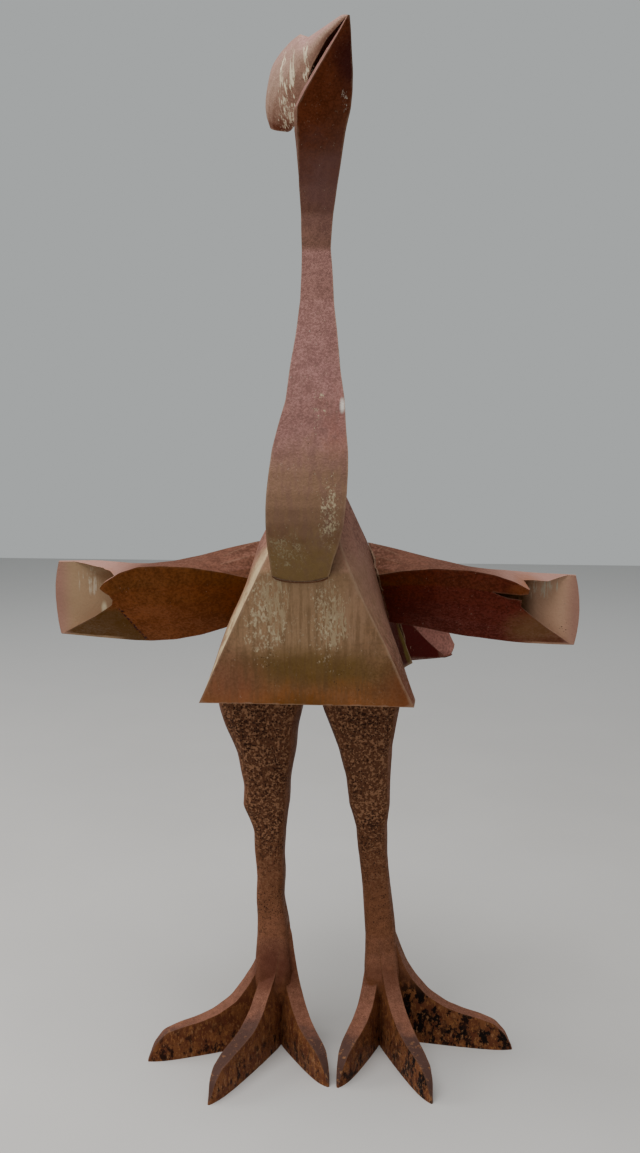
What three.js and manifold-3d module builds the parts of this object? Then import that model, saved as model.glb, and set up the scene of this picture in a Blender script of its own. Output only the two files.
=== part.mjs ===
// Ostrich figure of folded and welded sheet steel, standing on two three-toed feet.
// Millimetres, +Z up. The breast faces -Y and the bird's left wing points to +X.
import * as THREE from 'three';
import { mergeVertices } from 'three/addons/utils/BufferGeometryUtils.js';
import Module from 'manifold-3d';

// Driving dimensions
const FIGURE_HEIGHT = 1975;
const PLATE = 3;
const GAP = 0.3;
const SEAM = 0.05;
const RIM_HEIGHT = 757;
const BODY_HEIGHT = 470;
const BREAST_WIDTH = 406;
const BODY_DEPTH = 372;
const NECK_WIDTH = 146;
const HEAD_LENGTH = 308;
const HEAD_HALF_WIDTH = 42;
const WING_REACH = 543;
const TAIL_REACH = 226;
const LEG_WIDTH = 168;
const ANKLE_WIDTH = 58;
const TOE_HEIGHT = 58;
const TOE_WIDTH = 44;
const TOE_SHARE = 1;
const PAST = 60;
const SLIT = 25;

// Body: a flat breast panel with a soft fold, flanks that swell behind it and run back to a ridge,
// and a flat rump. Each row is a level: height, then half widths at the breast edge, the swelling,
// the flank, the hollow before the rump and the rump edge, then how far the breast and the rump
// stand from the middle.
const BODY_ROWS = [
  [757, 203, 206, 192, 173, 196, 190, 182],
  [800, 183, 190, 176, 162, 180, 193, 182],
  [851, 159, 171, 159, 150, 161, 195, 181],
  [915, 129, 146, 143, 135, 135, 194, 176],
  [964, 106, 125, 129, 122, 110, 192, 168],
  [1008, 86, 107, 117, 108, 86, 190, 156],
  [1045, 68, 92, 106, 95, 68, 170, 142],
  [1084, 54, 76, 87, 78, 52, 146, 124],
  [1131, 36, 55, 64, 57, 34, 112, 100],
  [1175, 19, 34, 41, 36, 18, 74, 74],
  [1205, 8, 18, 22, 20, 8, 40, 48],
  [1227, 3, 6, 8, 7, 3, 12, 22],
];

// Neck: a flat front strip with two side plates drawn together behind it, leaning back from the
// breast and forward again under the beak. Each row is height, middle, front, width, depth and turn.
const NECK_ROWS = [
  [985, -10, -184, 98, 50, 0],
  [1001, -9, -192, 106, 60, 0],
  [1030, -6, -207, 116, 90, 0],
  [1055, -3, -219, 126.5, 108, 0],
  [1078, 0, -228.5, 134.5, 122, 0],
  [1105, 3, -236, 141, 138, 0],
  [1132, 5, -238.5, 144.5, 146, 0],
  [1159, 7, -236, 146, 150, 0],
  [1197, 9, -227.5, 144, 143, 0],
  [1235, 11, -215, 139, 134, 0],
  [1323, 18, -180, 109, 108, 0],
  [1414, 16, -140, 85, 88, 0],
  [1506, 14, -100, 63, 70, 0],
  [1600, 10, -70, 55, 60, 0],
  [1664, 11, -66, 61, 62, 2],
  [1716, 13, -75, 72, 66, 6],
  [1774, 19, -98, 84, 72, 11],
  [1806, 23, -115, 92, 74, 14],
  [1840, 30.5, -134, 100, 70, 18],
  [1866, 41, -150, 88, 60, 22],
  [1896, 52.7, -168, 68.5, 44, 27],
  [1927, 63.5, -186, 44, 30, 32],
  [1955, 73, -202, 20, 15, 34],
  [1974, 78, -212, 4, 4, 34],
];

// The tip of the beak.
const BEAK_TIP = new THREE.Vector3(78, -213, 1975);

// The size the tables are drawn at; U turns their units into millimetres.
const DRAWN_RIM = BODY_ROWS[0][0];
const DRAWN_BODY = BODY_ROWS.at(-1)[0] - DRAWN_RIM;
const DRAWN_BREAST = 2 * BODY_ROWS[0][1];
const DRAWN_DEPTH = BODY_ROWS[0][6] + BODY_ROWS[0][7];
const DRAWN_NECK = Math.max(...NECK_ROWS.map((row) => row[3]));
const DRAWN_UPPER = BEAK_TIP.z - DRAWN_RIM;
const U = FIGURE_HEIGHT / BEAK_TIP.z;
const bodyZ = (z) => RIM_HEIGHT + (z - DRAWN_RIM) * (BODY_HEIGHT / DRAWN_BODY);
const upperZ = (z) => RIM_HEIGHT + (z - DRAWN_RIM) * ((FIGURE_HEIGHT - RIM_HEIGHT) / DRAWN_UPPER);

const wasm = await Module();
wasm.setup();

// Reading a station table

// Linear reading of a table whose first column rises.
function between(rows, x) {
  let i = 0;
  while (i < rows.length - 2 && x > rows[i + 1][0]) i += 1;
  const a = rows[i];
  const b = rows[i + 1];
  const t = Math.min(1, Math.max(0, (x - a[0]) / (b[0] - a[0])));
  return a.map((value, k) => value + (b[k] - value) * t);
}

// Smooth reading of the same kind of table, with slopes that never overshoot the rows.
function follow(rows, x) {
  let i = 0;
  while (i < rows.length - 2 && x > rows[i + 1][0]) i += 1;
  const span = rows[i + 1][0] - rows[i][0];
  const t = Math.min(1, Math.max(0, (x - rows[i][0]) / span));
  const chord = (j, k) => (rows[j + 1][k] - rows[j][k]) / (rows[j + 1][0] - rows[j][0]);
  const slope = (j, k) => {
    if (j === 0) return chord(0, k);
    if (j === rows.length - 1) return chord(j - 1, k);
    const before = chord(j - 1, k);
    const after = chord(j, k);
    return before * after <= 0 ? 0 : (2 * before * after) / (before + after);
  };
  return rows[i].map((value, k) => {
    const next = rows[i + 1][k];
    const m0 = slope(i, k) * span;
    const m1 = slope(i + 1, k) * span;
    const t2 = t * t;
    const t3 = t2 * t;
    return value * (2 * t3 - 3 * t2 + 1) + m0 * (t3 - 2 * t2 + t) + next * (3 * t2 - 2 * t3) + m1 * (t3 - t2);
  });
}

// Solids

function geometryOf(points, triangles) {
  const geometry = new THREE.BufferGeometry();
  geometry.setAttribute('position', new THREE.Float32BufferAttribute(points.flat(), 3));
  geometry.setIndex(triangles.flat());
  return geometry;
}

function solidOf(geometry) {
  const bare = geometry.clone();
  bare.deleteAttribute('normal');
  bare.deleteAttribute('uv');
  const merged = mergeVertices(bare, 1e-4);
  const mesh = new wasm.Mesh({
    numProp: 3,
    vertProperties: new Float32Array(merged.attributes.position.array),
    triVerts: new Uint32Array(merged.index.array),
  });
  return new wasm.Manifold(mesh);
}

// Edges shorter than the seam's width are drawn together before a solid becomes a mesh.
function geometryFrom(solid) {
  const mesh = solid.simplify(SEAM).getMesh();
  const geometry = new THREE.BufferGeometry();
  geometry.setAttribute('position', new THREE.BufferAttribute(new Float32Array(mesh.vertProperties), 3));
  geometry.setIndex(new THREE.BufferAttribute(new Uint32Array(mesh.triVerts), 1));
  geometry.computeVertexNormals();
  return geometry;
}

function signedVolume(points, triangles) {
  let sum = 0;
  for (const [i, j, k] of triangles) {
    const [a, b, c] = [points[i], points[j], points[k]];
    sum += a[0] * (b[1] * c[2] - b[2] * c[1]);
    sum += a[1] * (b[2] * c[0] - b[0] * c[2]);
    sum += a[2] * (b[0] * c[1] - b[1] * c[0]);
  }
  return sum / 6;
}

// Closed body through a row of rings with equal point counts, each end closed by a flat cap.
function loft(rings) {
  const n = rings[0].length;
  const points = rings.flat();
  const triangles = [];
  for (let r = 0; r + 1 < rings.length; r += 1) {
    for (let i = 0; i < n; i += 1) {
      const a = r * n + i;
      const b = r * n + ((i + 1) % n);
      triangles.push([a, b, b + n], [a, b + n, a + n]);
    }
  }
  for (const [first, turn] of [[0, 1], [(rings.length - 1) * n, 0]]) {
    const ring = rings[first / n];
    const centre = [0, 1, 2].map((k) => ring.reduce((s, p) => s + p[k], 0) / n);
    points.push(centre);
    for (let i = 0; i < n; i += 1) {
      const a = first + i;
      const b = first + ((i + 1) % n);
      triangles.push(turn ? [points.length - 1, b, a] : [points.length - 1, a, b]);
    }
  }
  if (signedVolume(points, triangles) < 0) triangles.forEach((t) => t.reverse());
  return solidOf(geometryOf(points, triangles));
}

// Flat outline moved inward by a distance, each corner along its mitre.
function inset(outline, distance) {
  if (distance === 0) return outline;
  const n = outline.length;
  let area = 0;
  for (let i = 0; i < n; i += 1) {
    const [x0, y0] = outline[i];
    const [x1, y1] = outline[(i + 1) % n];
    area += x0 * y1 - x1 * y0;
  }
  const turn = Math.sign(area);
  const normal = (a, b) => {
    const length = Math.hypot(b[0] - a[0], b[1] - a[1]) || 1;
    return [(-(b[1] - a[1]) * turn) / length, ((b[0] - a[0]) * turn) / length];
  };
  return outline.map((p, i) => {
    const before = normal(outline[(i + n - 1) % n], p);
    const after = normal(p, outline[(i + 1) % n]);
    const mitre = [before[0] + after[0], before[1] + after[1]];
    const scale = distance / Math.max(0.35, (mitre[0] ** 2 + mitre[1] ** 2) / 2);
    return [p[0] + mitre[0] * scale, p[1] + mitre[1] * scale];
  });
}

// Open sheet of even thickness laid on a surface of two parameters that both run from 0 to 1.
function sheet(surface, columns, rows, thickness) {
  const step = 1e-3;
  const faces = [[], []];
  for (let j = 0; j <= rows; j += 1) {
    for (let i = 0; i <= columns; i += 1) {
      const u = i / columns;
      const v = j / rows;
      const p = new THREE.Vector3(...surface(u, v));
      const du = new THREE.Vector3(...surface(Math.min(1, u + step), v));
      du.sub(new THREE.Vector3(...surface(Math.max(0, u - step), v)));
      const dv = new THREE.Vector3(...surface(u, Math.min(1, v + step)));
      dv.sub(new THREE.Vector3(...surface(u, Math.max(0, v - step))));
      const normal = du.cross(dv).normalize().multiplyScalar(thickness / 2);
      faces[0].push(p.clone().add(normal).toArray());
      faces[1].push(p.clone().sub(normal).toArray());
    }
  }
  const n = columns + 1;
  const half = faces[0].length;
  const points = [...faces[0], ...faces[1]];
  const triangles = [];
  const quad = (a, b, c, d) => triangles.push([a, b, c], [a, c, d]);
  for (let j = 0; j < rows; j += 1) {
    for (let i = 0; i < columns; i += 1) {
      const a = j * n + i;
      quad(a, a + 1, a + n + 1, a + n);
      quad(half + a, half + a + n, half + a + n + 1, half + a + 1);
    }
  }
  for (let i = 0; i < columns; i += 1) {
    const top = rows * n + i;
    quad(i, half + i, half + i + 1, i + 1);
    quad(top, top + 1, half + top + 1, half + top);
  }
  for (let j = 0; j < rows; j += 1) {
    const left = j * n;
    const right = left + columns;
    quad(left, left + n, half + left + n, half + left);
    quad(right, half + right, half + right + n, right + n);
  }
  if (signedVolume(points, triangles) < 0) triangles.forEach((t) => t.reverse());
  return solidOf(geometryOf(points, triangles));
}

// Straight prism along Y with an outline given as X and Z pairs.
function prismY(outline, y0, y1) {
  return loft([outline.map(([x, z]) => [x, y0, z]), outline.map(([x, z]) => [x, y1, z])]);
}

function box(x0, x1, y0, y1, z0, z1) {
  return prismY([[x0, z0], [x1, z0], [x1, z1], [x0, z1]], y0, y1);
}

const SIDE_SHARES = [0, 0.06, 0.16, 0.28, 0.42, 0.55, 0.68, 0.8, 0.9, 1];

// Outline of one level, as X and Y pairs from the right breast edge round to the left one.
function bodyOutline(row) {
  const wide = BREAST_WIDTH / DRAWN_BREAST;
  const deep = BODY_DEPTH / DRAWN_DEPTH;
  const [, breast, swell, flank, hollow, rump] = row.map((value) => value * wide);
  const front = -row[6] * deep;
  const back = row[7] * deep;
  const side = [[0, breast], [0.16, swell], [0.42, flank], [0.8, hollow], [1, rump]];
  const right = SIDE_SHARES.map((share) => [follow(side, share)[1], front + (back - front) * share]);
  const outline = [...right];
  for (const share of [0.33, -0.33]) outline.push([share * rump, back]);
  outline.push(...right.map(([x, y]) => [-x, y]).reverse());
  for (const share of [-0.5, 0, 0.5]) outline.push([share * breast, front]);
  return outline;
}

// The body's form as a full solid, its walls moved inward by a distance (outward when negative).
function bodyForm(inward, below) {
  const rings = BODY_ROWS.map((row, i) => {
    const next = BODY_ROWS[Math.min(i + 1, BODY_ROWS.length - 1)];
    const last = BODY_ROWS[Math.max(i - 1, 0)];
    const rise = bodyZ(next[0]) - bodyZ(last[0]);
    const slope = ((last[3] - next[3]) * BREAST_WIDTH) / DRAWN_BREAST / rise;
    const top = i === BODY_ROWS.length - 1;
    const moved = top ? Math.min(inward, 1) : Math.min(inward * Math.hypot(1, slope), row[1] * 0.45);
    const z = bodyZ(row[0]) - (top ? inward : 0);
    return inset(bodyOutline(row), moved).map(([x, y]) => [x, y, z]);
  });
  if (below > 0) rings.unshift(rings[0].map(([x, y, z]) => [x, y, z - below]));
  return loft(rings);
}

const bodyShell = bodyForm(0, 0).subtract(bodyForm(PLATE, PAST));
const bodyClear = bodyForm(-GAP, GAP);

function neckForm(inward) {
  const rings = NECK_ROWS.map(([z, x, y, width, depth, turn], i) => {
    const w = (width * NECK_WIDTH) / DRAWN_NECK / 2;
    const d = depth * U;
    const square = 0.92 + 0.08 * Math.min(1, turn / 14);
    const outline = [
      [-w, 0],
      [-w * 0.5, -w * 0.06],
      [0, -w * 0.08],
      [w * 0.5, -w * 0.06],
      [w, 0],
      [w * square, d * 0.4],
      [w * 0.72, d * 0.78],
      [w * 0.4, d],
      [-w * 0.4, d],
      [-w * 0.72, d * 0.78],
      [-w * square, d * 0.4],
    ];
    const end = inward > 0 && i === 0 ? PAST / 3 : 0;
    const moved = Math.min(inward, w * 0.45, d * 0.3);
    const spin = THREE.MathUtils.degToRad(turn);
    return inset(outline, moved).map(([px, py]) => [
      x * U + px * Math.cos(spin) - py * Math.sin(spin),
      y * U + px * Math.sin(spin) + py * Math.cos(spin),
      upperZ(z) - end,
    ]);
  });
  return loft(rings);
}

const neckShell = neckForm(0).subtract(neckForm(PLATE)).subtract(bodyClear);

// Head: one sheet folded over the ridge of the head, open below towards the beak.
// Each row is a share of the way from the beak's tip to the nape, the ridge along and above the
// line from nape to tip, and the lower edge along, below and out, all as shares of the head's length.
const HEAD_ROWS = [
  [0.0, 1.0, 0.0, 1.0, 0.0, 0.0],
  [0.05, 0.955, 0.032, 0.95, 0.004, 0.01],
  [0.18, 0.834, 0.068, 0.815, 0.004, 0.045],
  [0.36, 0.643, 0.127, 0.64, -0.03, 0.088],
  [0.4, 0.617, 0.178, 0.6, -0.046, 0.097],
  [0.48, 0.532, 0.208, 0.53, -0.082, 0.112],
  [0.6, 0.403, 0.227, 0.45, -0.117, 0.124],
  [0.71, 0.276, 0.23, 0.39, -0.14, 0.13],
  [0.8, 0.182, 0.201, 0.35, -0.155, 0.136],
  [0.88, 0.094, 0.159, 0.32, -0.17, 0.137],
  [0.94, 0.042, 0.11, 0.27, -0.176, 0.132],
  [1.0, 0.0, 0.02, 0.2, -0.15, 0.11],
];
const HEAD_ALONG = new THREE.Vector3(0.506, -0.737, 0.448).normalize();
const HEAD_OUT = new THREE.Vector3(-0.657, -0.666, -0.353).normalize();
const HEAD_UP = new THREE.Vector3().crossVectors(HEAD_OUT, HEAD_ALONG).normalize();
if (HEAD_UP.z < 0) HEAD_UP.negate();

function headSurface(u, v) {
  const row = between(HEAD_ROWS, u);
  const side = 2 * v - 1;
  const reach = Math.abs(side);
  const along = (row[1] + (row[3] - row[1]) * reach) * HEAD_LENGTH;
  const belly = row[5] * 0.45 * Math.sin(Math.PI * reach ** 0.8);
  const up = (row[2] + (row[4] - row[2]) * reach) * HEAD_LENGTH;
  const spread = (row[5] * reach + belly) / 0.137;
  const out = Math.sign(side) * spread * HEAD_HALF_WIDTH;
  const tip = new THREE.Vector3(BEAK_TIP.x * U, BEAK_TIP.y * U, upperZ(BEAK_TIP.z));
  tip.addScaledVector(HEAD_ALONG, along - HEAD_LENGTH);
  tip.addScaledVector(HEAD_UP, up);
  tip.addScaledVector(HEAD_OUT, out);
  return tip.toArray();
}

// Wings: tapered tubes of folded sheet. Each row is a share of the reach, the height of the top
// fold, how far the nose fold stands forward and its height, and the height of the lower fold.
const WING_BACK = 42;
const RIGHT_WING = [
  [0.06, 1050, 0, 945, 890],
  [0.22, 1037, -12, 965, 884],
  [0.34, 1021, -40, 984, 858],
  [0.44, 1006, -60, 995, 841],
  [0.54, 994, -70, 998, 829],
  [0.63, 989, -70, 996, 825],
  [0.7, 989, -70, 984, 826],
  [0.75, 991, -68, 966, 828],
  [0.83, 993, -60, 940, 831],
  [1.02, 990, -40, 930, 840],
];
const LEFT_WING = [
  [0.06, 1046, 0, 950, 884],
  [0.2, 1036, -12, 974, 879],
  [0.32, 1021, -45, 992, 870],
  [0.44, 1005, -68, 1000, 858],
  [0.56, 992, -72, 998, 847],
  [0.65, 985, -72, 990, 841],
  [0.72, 982, -70, 978, 838],
  [0.78, 980, -66, 960, 836],
  [0.86, 978, -58, 942, 834],
  [1.02, 974, -40, 930, 832],
];

function wingForm(rows, side, inward) {
  const rings = rows.map(([share, top, noseOut, noseZ, low], i) => {
    const back = WING_BACK;
    const nose = noseOut * U;
    const [zt, zn, zb] = [bodyZ(top), bodyZ(noseZ), bodyZ(low)];
    const outline = [];
    for (const t of [0, 0.35, 0.7, 1]) {
      const bow = 0.03 * (zt - zb) * Math.sin(Math.PI * t);
      outline.push([back + (nose - back) * t - bow * 0.3, zt + (zn - zt) * t + bow * 0.4]);
    }
    for (const t of [0.25, 0.5, 0.75, 1]) {
      const bow = 0.05 * (zn - zb) * Math.sin(Math.PI * t);
      outline.push([nose + (back - nose) * t ** 1.15 - bow, zn + (zb - zn) * t]);
    }
    outline.push([back, (zt + zb) / 2]);
    const end = i === 0 ? -1 : i === rows.length - 1 ? 1 : 0;
    const x = side * (share * WING_REACH + (inward > 0 ? (end * PAST) / 3 : 0));
    return inset(outline, inward).map(([y, z]) => [x, y, z]);
  });
  return loft(rings);
}

// Outlines, seen from the front, of what the slanting cut takes off the two front walls of a wing.
const RIGHT_CUT = [
  [525, 993], [394, 976], [410, 966], [422, 950], [414, 941], [405, 935], [401, 924], [405, 913], [440, 890], [531, 838],
];
const LEFT_CUT = [
  [512, 976], [462, 968], [411, 973], [421, 962], [420, 952], [407, 949], [351, 954], [378, 943], [408, 938], [408, 923],
  [459, 878], [519, 830],
];

function wing(rows, cut, side) {
  const reach = WING_REACH / 543;
  const far = side * WING_REACH * 1.3;
  const place = ([x, z]) => [side * x * reach, bodyZ(z)];
  const front = [...cut.map(place), [far, bodyZ(cut.at(-1)[1])], [far, bodyZ(cut[0][1])]];
  const rim = [];
  for (let i = 0; i <= 8; i += 1) {
    const t = i / 8;
    const bulge = 18 * (1 - (2 * t - 1) ** 2);
    rim.push([side * (cut[0][0] + bulge) * reach, bodyZ(cut[0][1] + SLIT + (cut.at(-1)[1] - cut[0][1] - 2 * SLIT) * t)]);
  }
  rim.push([far, rim.at(-1)[1]], [far, rim[0][1]]);
  const tube = wingForm(rows, side, 0).subtract(wingForm(rows, side, PLATE));
  const backWall = WING_BACK - PLATE + 0.2;
  return tube
    .subtract(prismY(front, -400 * U, backWall))
    .subtract(prismY(rim, -400 * U, 400 * U))
    .subtract(bodyClear);
}

// Tail: a trough of folded sheet that runs back and to the bird's left from the rump.
const TAIL_START = [100, 140];
const TAIL_HEADING = 30;
const TAIL_NEAR = 178;
const TAIL_FAR = 190;

function tailSurface(u, v) {
  const turn = 2 * v - 1;
  const side = Math.sign(turn) * Math.abs(turn) ** 1.6;
  const tip = Math.max(0, (u - 0.78) / 0.22);
  const corner = (1 - Math.min(1, Math.max(0, side) / 0.25)) ** 2;
  const lean = Math.max(0, side - 0.2);
  const along = (u - tip ** 2 * (0.075 * corner + 0.1 * lean)) * TAIL_REACH;
  const near = Math.max(PLATE, TAIL_NEAR * (1 - u / 0.86));
  const far = TAIL_FAR * (1 - 0.58 * u);
  const floor = 4 * tip ** 2;
  const height = side < 0 ? near * (-side) : (far - floor) * side;
  const out = side < 0 ? -4 * side : 8 + 26 * side + 6 * Math.sin(Math.PI * side);
  const heading = THREE.MathUtils.degToRad(TAIL_HEADING);
  return [
    TAIL_START[0] * U + along * Math.cos(heading) - out * U * Math.sin(heading),
    TAIL_START[1] * U + along * Math.sin(heading) + out * U * Math.cos(heading),
    bodyZ(DRAWN_RIM + 3 + floor + height),
  ];
}

// Legs and feet: hollow shanks with a swollen knee that split into three toes with flat soles.
// Each row is height, middle, depth middle, width as a share of the leg's, depth.
const RIGHT_LEG = [
  [0, -74, -22, 0.36, 58],
  [60, -76, -23, 0.36, 60],
  [98, -78, -34, 0.41, 82],
  [124, -79, -41, 0.45, 95],
  [146, -79, -41.5, 0.465, 97],
  [170, -79, -38.5, 0.465, 91],
  [194, -80.5, -33.5, 0.435, 82],
  [229, -82.5, -27, 0.39, 69],
  [270, -85, -22.5, 0.365, 59],
  [310, -88.5, -21, 0.35, 56],
  [394, -90, -20, 0.35, 58],
  [448, -90, -20, 0.38, 64],
  [469, -91.5, -20, 0.435, 70],
  [505, -96, -20, 0.55, 82],
  [550, -94, -20, 0.55, 86],
  [613, -97, -20, 0.7, 96],
  [655, -101, -20, 0.82, 106],
  [709, -105, -20, 1, 118],
  [757, -108, -20, 1.1, 124],
  [812, -108, -20, 1.12, 126],
];
const LEFT_LEG = [
  [0, 141, 6, 0.36, 58],
  [60, 141, 5, 0.36, 60],
  [98, 142, -10, 0.39, 74],
  [124, 143, -16, 0.43, 86],
  [146, 142, -17, 0.44, 87],
  [170, 140.5, -12, 0.42, 79],
  [194, 139, -6, 0.39, 70],
  [229, 137, -2, 0.365, 60],
  [270, 133.5, -3, 0.35, 56],
  [310, 130, -4, 0.345, 56],
  [402, 122, -10, 0.34, 58],
  [461, 118, -14, 0.37, 66],
  [512, 114, -17, 0.5, 82],
  [571, 112, -18, 0.53, 88],
  [629, 105, -20, 0.635, 98],
  [713, 97, -20, 0.91, 116],
  [757, 95, -20, 1.02, 122],
  [812, 95, -20, 1.08, 126],
];
const RIGHT_FOOT = { centre: [-66, -28], tips: [[-324, -153], [-176, -296], [46, -215]] };
const LEFT_FOOT = { centre: [136, 0], tips: [[411, -42], [247, -255], [64, -216]] };
const LEG_CORNERS = 14;

// Height and half width of a toe along its length.
const TOE_ROWS = [
  [0, 5, 0.3],
  [0.1, 3.95, 0.36],
  [0.15, 3.35, 0.39],
  [0.2, 2.8, 0.41],
  [0.27, 2.3, 0.42],
  [0.37, 1.78, 0.42],
  [0.5, 1.42, 0.41],
  [0.62, 1.25, 0.39],
  [0.76, 1.13, 0.35],
  [0.87, 0.98, 0.28],
  [0.945, 0.64, 0.18],
  [1, 0.06, 0.04],
];

function toeForm([cx, cy], [tx, ty], place, inward) {
  const dx = tx - cx;
  const dy = ty - cy;
  const length = Math.hypot(dx, dy);
  const [ax, ay] = [dx / length, dy / length];
  const rings = TOE_ROWS.map(([share, high, half], i) => {
    const first = i === 0;
    const last = i === TOE_ROWS.length - 1;
    const before = TOE_ROWS[Math.max(i - 1, 0)];
    const after = TOE_ROWS[Math.min(i + 1, TOE_ROWS.length - 1)];
    const fall = ((before[1] - after[1]) * TOE_HEIGHT) / ((after[0] - before[0]) * length * TOE_SHARE * U);
    const h = (high - (first ? 0.07 * place : 0)) * TOE_HEIGHT;
    const w = (half - (first ? 0.03 * place : 0)) * TOE_WIDTH;
    const start = first ? PLATE + 4 * place - inward : 0;
    const along = share * length * TOE_SHARE - start - (last ? inward * 6 : 0);
    const low = inward;
    const top = Math.max(low + 0.6, h - inward * Math.hypot(1, fall));
    const base = Math.max(0.4, w - inward);
    const crown = Math.max(0.3, w * 0.86 - inward);
    const across = [[-base, low], [base, low], [base, low + (top - low) * 0.5], [crown, top], [-crown, top],
      [-base, low + (top - low) * 0.5]];
    return across.map(([s, z]) => [(cx + ax * along) * U - ay * s, (cy + ay * along) * U + ax * s, z]);
  });
  return loft(rings);
}

function shankForm(rows, inward) {
  const rings = rows.map(([z, x, y, share, depth], i) => {
    const slim = (ANKLE_WIDTH - LEG_WIDTH * 0.345) * Math.max(0, 1 - (share - 0.34) / 0.5);
    const w = (LEG_WIDTH * share + slim) / 2;
    const d = (depth * U) / 2;
    const outline = [];
    for (let k = 0; k < LEG_CORNERS; k += 1) {
      const a = (2 * Math.PI * (k + 0.5)) / LEG_CORNERS;
      const round = 0.55;
      const px = Math.sign(Math.cos(a)) * Math.abs(Math.cos(a)) ** round * w;
      const py = Math.sign(Math.sin(a)) * Math.abs(Math.sin(a)) ** round * d;
      outline.push([px, py]);
    }
    const level = z < DRAWN_RIM ? (z * RIM_HEIGHT) / DRAWN_RIM : bodyZ(z);
    const end = i === 0 ? inward : i === rows.length - 1 && inward > 0 ? PAST / 2 : 0;
    return inset(outline, inward).map(([px, py]) => [x * U + px, y * U + py, level + end]);
  });
  return loft(rings);
}

// Room for a leg: inside the body's walls above the rim, and free below it.
function legRoom(inward) {
  const rim = RIM_HEIGHT - GAP - inward;
  const free = box(-500 * U, 500 * U, -500 * U, 500 * U, -PAST, rim);
  return free.add(bodyForm(PLATE + GAP + inward, PAST));
}

function legForm(rows, foot, inward) {
  let solid = shankForm(rows, inward);
  foot.tips.forEach((tip, place) => {
    solid = solid.add(toeForm(foot.centre, tip, place, inward));
  });
  return solid.intersect(legRoom(inward));
}

function leg(rows, foot) {
  return legForm(rows, foot, 0).subtract(legForm(rows, foot, PLATE));
}

// The scene

const headShell = sheet(headSurface, 22, 12, PLATE);
const neckClear = neckForm(-GAP);
const tailShell = sheet(tailSurface, 14, 10, PLATE).subtract(bodyClear);

const pieces = [
  ['body_shell', bodyShell, 0x6b4a34, 0.82],
  ['neck_and_lower_beak', neckShell, 0x6d4a40, 0.8],
  ['head_plate', headShell.subtract(neckClear), 0x80605a, 0.78],
  ['wing_right', wing(RIGHT_WING, RIGHT_CUT, -1), 0x5a3524, 0.82],
  ['wing_left', wing(LEFT_WING, LEFT_CUT, 1), 0x5a3024, 0.82],
  ['tail', tailShell, 0x6e443c, 0.82],
  ['leg_right', leg(RIGHT_LEG, RIGHT_FOOT), 0x5e3a28, 0.88],
  ['leg_left', leg(LEFT_LEG, LEFT_FOOT), 0x5e3a28, 0.88],
];

const ostrich = new THREE.Group();
for (const [name, solid, colour, roughness] of pieces) {
  const material = new THREE.MeshStandardMaterial({ color: colour, roughness, metalness: 0.35 });
  const mesh = new THREE.Mesh(geometryFrom(solid), material);
  mesh.name = name;
  ostrich.add(mesh);
}

// The origin is the middle of the footprint of the whole figure, at floor level.
const bounds = new THREE.Box3().setFromObject(ostrich);
ostrich.position.set(-(bounds.min.x + bounds.max.x) / 2, -(bounds.min.y + bounds.max.y) / 2, -bounds.min.z);

export default ostrich;
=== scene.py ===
"""Weathered sheet steel ostrich: smooth folded sheets, weld beads, rust finishes, stage and camera."""
import math

import bpy
import numpy as np
from bpy.props import FloatProperty, FloatVectorProperty, PointerProperty
from mathutils import Matrix, Vector


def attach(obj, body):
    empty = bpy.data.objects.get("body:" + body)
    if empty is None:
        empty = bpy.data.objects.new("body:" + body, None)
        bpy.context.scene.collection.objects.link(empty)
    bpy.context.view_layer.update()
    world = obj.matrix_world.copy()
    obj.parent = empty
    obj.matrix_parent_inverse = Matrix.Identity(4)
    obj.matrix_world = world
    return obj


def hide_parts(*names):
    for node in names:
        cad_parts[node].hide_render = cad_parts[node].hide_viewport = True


bl_info = {
    "name": "Sheet steel ostrich",
    "version": (1, 0, 0),
    "blender": (4, 5, 0),
    "location": "3D View > Sidebar > Ostrich",
    "description": "Dresses the folded ostrich in weathered steel and sets it on a pale floor",
    "category": "Object",
}

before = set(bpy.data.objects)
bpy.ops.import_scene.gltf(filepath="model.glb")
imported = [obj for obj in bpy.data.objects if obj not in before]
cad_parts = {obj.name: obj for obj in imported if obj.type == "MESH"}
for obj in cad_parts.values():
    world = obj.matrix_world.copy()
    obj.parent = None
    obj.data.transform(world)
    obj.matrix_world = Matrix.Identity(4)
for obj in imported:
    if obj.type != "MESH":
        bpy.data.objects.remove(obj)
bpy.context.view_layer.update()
BODY = "root"

# Settings


class SheetSettings(bpy.types.PropertyGroup):
    """Sizes of the folded sheets and their welds."""

    fold_angle: FloatProperty(
        name="Fold angle", description="Edges that turn more than this stay crisp folds",
        default=math.radians(33), subtype="ANGLE")
    leg_fold_angle: FloatProperty(
        name="Leg fold angle", description="Edges of the legs that turn more than this stay crisp",
        default=math.radians(56), subtype="ANGLE")
    cell: FloatProperty(
        name="Cell", description="Longest triangle edge on the sheets", default=0.006, unit="LENGTH")
    body_cell: FloatProperty(
        name="Body cell", description="Longest triangle edge on the body", default=0.0072, unit="LENGTH")
    leg_cell: FloatProperty(
        name="Leg cell", description="Longest triangle edge on the legs", default=0.006, unit="LENGTH")
    dent: FloatProperty(
        name="Dent", description="How far the hand-worked sheets wander", default=0.0009, unit="LENGTH")
    dent_length: FloatProperty(
        name="Dent length", description="Distance from one dent to the next", default=0.13, unit="LENGTH")
    scale_depth: FloatProperty(
        name="Scale depth", description="Depth of the rust scale on the legs", default=0.00035,
        unit="LENGTH")
    bead: FloatProperty(
        name="Weld bead", description="Radius of a weld bead", default=0.0021, unit="LENGTH")
    ripple: FloatProperty(
        name="Weld ripple", description="Distance between the ripples of a weld", default=0.0036,
        unit="LENGTH")


def colour(name, description, default):
    """Property for a colour."""
    return FloatVectorProperty(name=name, description=description, default=default, size=3, subtype="COLOR")


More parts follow.
